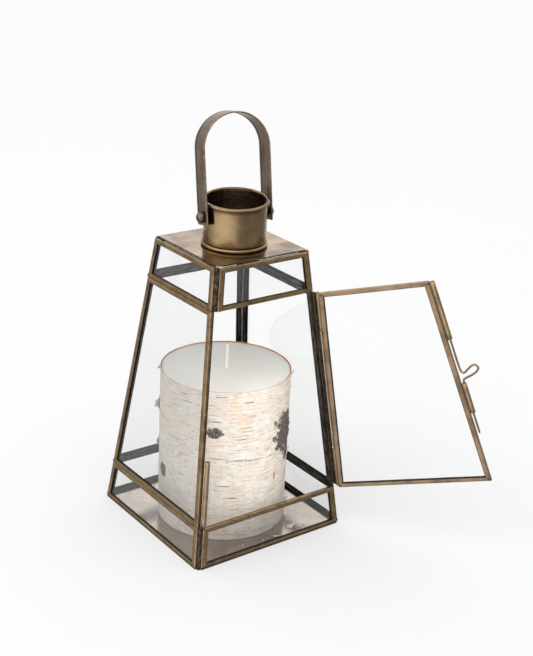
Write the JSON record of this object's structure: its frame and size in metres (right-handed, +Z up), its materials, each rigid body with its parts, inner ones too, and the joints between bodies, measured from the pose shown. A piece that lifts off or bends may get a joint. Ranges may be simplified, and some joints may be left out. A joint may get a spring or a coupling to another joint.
{
  "type": "candle lantern",
  "caption": "Tapered square brass and glass candle lantern with a hinged glass door, wire bolt latch, round collar, strap handle and a bark-wrapped pillar candle.",
  "frame": {"origin": "centre of the square base's underside, on the surface that the lantern stands on", "axes": "+Z up; the door side is -Y, its hinge is on the +X side of that doorway and its latch on the -X side"},
  "size_m": [0.2056, 0.2432, 0.3336],
  "materials": {
    "brass": "antiqued brass channel and tube, satin, browned in streaks",
    "plate_brass": "antiqued sheet brass, taupe, soft mirror sheen with cloudy patina",
    "dark_brass": "dark patina brass wire, rod and rivets",
    "solder": "blackened solder, dull and uneven",
    "glass": "clear polished sheet glass",
    "wax": "cream white wax, soft satin",
    "bark": "papery white bark with dark dashes, tan patches and rough knots",
    "cotton": "waxed cotton wick"
  },
  "bodies": {
    "case": {"base_plate": "plate_brass", "roof_plate": "plate_brass", "channel_low_front": "brass", "channel_low_right": "brass", "channel_low_back": "brass", "channel_low_left": "brass", "channel_mid_right": "brass", "channel_mid_back": "brass", "channel_mid_left": "brass", "channel_top_front": "brass", "channel_top_right": "brass", "channel_top_back": "brass", "channel_top_left": "brass", "glass_low_front": "glass", "glass_low_right": "glass", "glass_low_back": "glass", "glass_low_left": "glass", "glass_mid_right": "glass", "glass_mid_back": "glass", "glass_mid_left": "glass", "glass_top_front": "glass", "glass_top_right": "glass", "glass_top_back": "glass", "glass_top_left": "glass", "seam_low_front_left": "solder", "seam_low_front_right": "solder", "seam_low_back_right": "solder", "seam_low_back_left": "solder", "seam_mid_back_right": "solder", "seam_mid_back_left": "solder", "seam_top_front_left": "solder", "seam_top_front_right": "solder", "seam_top_back_right": "solder", "seam_top_back_left": "solder", "collar": "brass", "rivet_left": "dark_brass", "rivet_right": "dark_brass", "hinge_rod": "dark_brass", "hinge_solder": "solder", "keeper_tube": "brass"},
    "door": {"channel_door": "brass", "glass_door": "glass", "knuckle_low": "brass", "knuckle_high": "brass", "guide_high": "brass", "guide_low": "brass"},
    "bolt": {"latch_bolt": "dark_brass"},
    "handle": {"handle_strap": "brass"},
    "candle": {"candle_bark": "bark", "candle_wax": "wax", "candle_wick": "cotton"}
  },
  "joints": [
    {"name": "door_hinge", "type": "hinge", "parent": "case", "child": "door", "pos_m": [0.06774, -0.06774, 0.0334], "axis": [-0.1148, 0.1148, 0.9867], "range_deg": [-123.5, 110]},
    {"name": "bolt_slide", "type": "slide", "parent": "door", "child": "bolt", "axis": [-0.2369, 0.2991, 0.9243], "range_m": [0, 0.022]},
    {"name": "handle_hinge", "type": "hinge", "parent": "case", "child": "handle", "pos_m": [0.0001, -0.0034, 0.2561], "axis": [0.9839, -0.1788, 0], "range_deg": [-94, 114]},
    {"name": "candle_lift", "type": "slide", "parent": "case", "child": "candle", "axis": [0, 0, 1], "range_m": [0, 0.002]}
  ]
}
